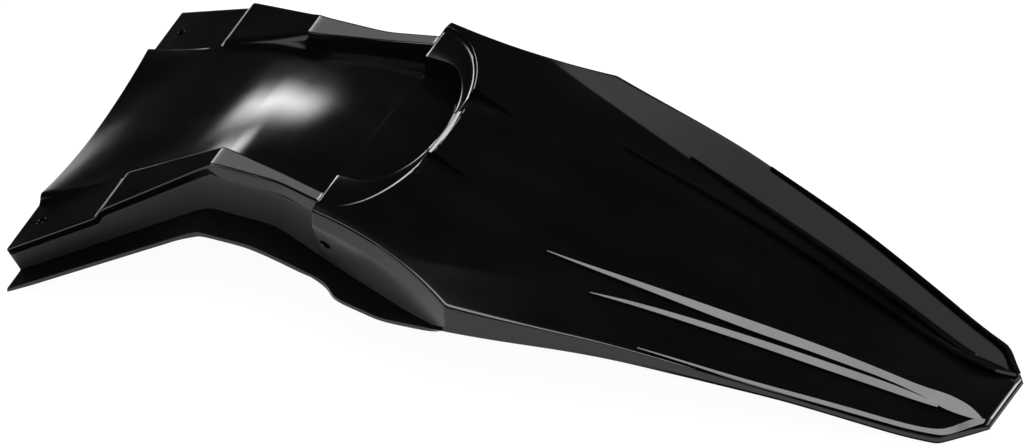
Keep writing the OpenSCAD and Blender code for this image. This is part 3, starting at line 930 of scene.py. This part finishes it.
FLOOR_Z = -0.0006
FLOOR_CORNERS = [(x, y, FLOOR_Z) for x, y in ((-0.66, -0.9), (0.9, -0.9), (0.9, 0.5), (-0.66, 0.5))]
paint = stage_sheet("floor", FLOOR_CORNERS, "pale_floor")[1]
seen = rays(paint, "Camera", "Glossy", "Transmission")
matt = paint.node("ShaderNodeBsdfDiffuse", inputs={"Color": (0.9, 0.9, 0.9, 1)})
glow = paint.node("ShaderNodeEmission", inputs={"Color": (1, 1, 1, 1), "Strength": 1.1})
mixed = paint.node("ShaderNodeMixShader", inputs={"Fac": seen * 0.86, 1: matt, 2: glow})
paint.node("ShaderNodeOutputMaterial", inputs={"Surface": mixed})

world = bpy.data.worlds.new("Studio")
bpy.context.scene.world = world
world.use_nodes = True
paint = Paint(world.node_tree)
toward = paint.node("ShaderNodeTexCoord", out=0)


def along_axis(axis):
    """How far the ray points along an axis, from -1 to 1."""
    return paint.node(
        "ShaderNodeVectorMath", {"operation": "DOT_PRODUCT"}, {0: toward, 1: tuple(axis)}, out=1)


def fade(value, start, end):
    """1 up to the start, and 0 from the end on, with a smooth fall between them."""
    return paint.node("ShaderNodeMapRange", {"interpolation_type": "SMOOTHSTEP"}, {
        "Value": value, "From Min": start, "From Max": end, "To Min": 1.0, "To Max": 0.0})


def panel(first, last, half_wide, half_long, soft, level):
    """A lit panel in the studio, from one direction to another, with soft or hard borders."""
    first, last = Vector(first).normalized(), Vector(last).normalized()
    middle = (first + last).normalized()
    length_axis = (last - first).normalized()
    width_axis = middle.cross(length_axis).normalized()
    long = paint.node("ShaderNodeMath", {"operation": "ABSOLUTE"}, {0: along_axis(length_axis)})
    wide = paint.node("ShaderNodeMath", {"operation": "ABSOLUTE"}, {0: along_axis(width_axis)})
    ahead = paint.node("ShaderNodeMath", {"operation": "GREATER_THAN"}, {0: along_axis(middle), 1: 0.0})
    inside = fade(long, half_long - soft, half_long) * fade(wide, half_wide - soft, half_wide)
    return inside * ahead * level


# A dark studio with a bright ground far below, and a panel for each highlight: the dome's, the one by
# the seat ledge, the ridges' and the tail's
light = 0.012 + 0.66 * fade(along_axis((0, 0, 1)), -0.5, -0.3)
for studio_panel in (
        panel((-0.58, 0.73, 0.35), (-0.39, 0.73, 0.55), 0.10, 0.246, 0.14, 17.0),
        panel((-0.61, 0.61, 0.49), (-0.57, 0.63, 0.53), 0.08, 0.09, 0.08, 12.0),
        panel((-0.30, 0.17, 0.94), (0.42, 0.17, 0.90), 0.09, 0.40, 0.03, 7.0),
        panel((0.28, 0.74, 0.62), (0.52, 0.76, 0.38), 0.15, 0.20, 0.12, 14.0)):
    light = light + studio_panel
seen = rays(paint, "Camera", "Diffuse", "Transmission")
plain = paint.node("ShaderNodeBackground", inputs={"Color": (1, 1, 1, 1), "Strength": 1.0})
room = paint.node("ShaderNodeBackground", inputs={"Color": (1, 1, 1, 1), "Strength": light})
mixed = paint.node("ShaderNodeMixShader", inputs={"Fac": seen, 1: room, 2: plain})
paint.node("ShaderNodeOutputWorld", inputs={"Surface": mixed})


def softbox(name, toward, distance, wide, high, level):
    """An even panel of light that faces the part. Its level is the brightness of its face."""
    lamp = bpy.data.lights.new(name, "AREA")
    lamp.shape = "RECTANGLE"
    lamp.size, lamp.size_y = wide, high
    lamp.energy = level * math.pi * wide * high
    box = bpy.data.objects.new(name, lamp)
    bpy.context.scene.collection.objects.link(box)
    out = Vector(toward).normalized()
    box.location = out * distance
    box.rotation_euler = out.to_track_quat("Z", "Y").to_euler()
    box.visible_camera = False


softbox("front_fill", (0.10, -0.52, 0.85), 2.6, 1.3, 1.3, 1.2)

# A pale card behind the part, which the far side facet mirrors from end to end
CARD_Y = 450.0
CARD_CORNERS = [
    place @ Vector((x, CARD_Y, z)) for x, z in ((215, 150), (413, 348), (820, 348), (820, 150))]
card, paint = stage_sheet("rear_card", CARD_CORNERS, "pale_card")
glow = paint.node("ShaderNodeEmission", inputs={"Color": (1, 1, 1, 1), "Strength": 0.45})
paint.node("ShaderNodeOutputMaterial", inputs={"Surface": glow})
card.visible_camera = card.visible_diffuse = card.visible_shadow = False

# Camera at the photograph's viewing angle, without perspective
camera_data = bpy.data.cameras.new("Camera")
camera_data.type = "ORTHO"
camera_data.ortho_scale = 0.6903
camera_data.clip_end = 20
camera = bpy.data.objects.new("Camera", camera_data)
bpy.context.scene.collection.objects.link(camera)
right = Vector((0.9164, 0.4002, 0.0)).normalized()
back = Vector((0.3234, -0.7406, 0.5892)).normalized()
up = back.cross(right).normalized()
target = Vector((-0.0284, 0.0, 0.0473))
turn = Matrix((right, up, back)).transposed().to_4x4()
camera.matrix_world = Matrix.Translation(target + back * 2.5) @ turn
bpy.context.scene.camera = camera
bpy.context.scene.view_settings.view_transform = "Standard"
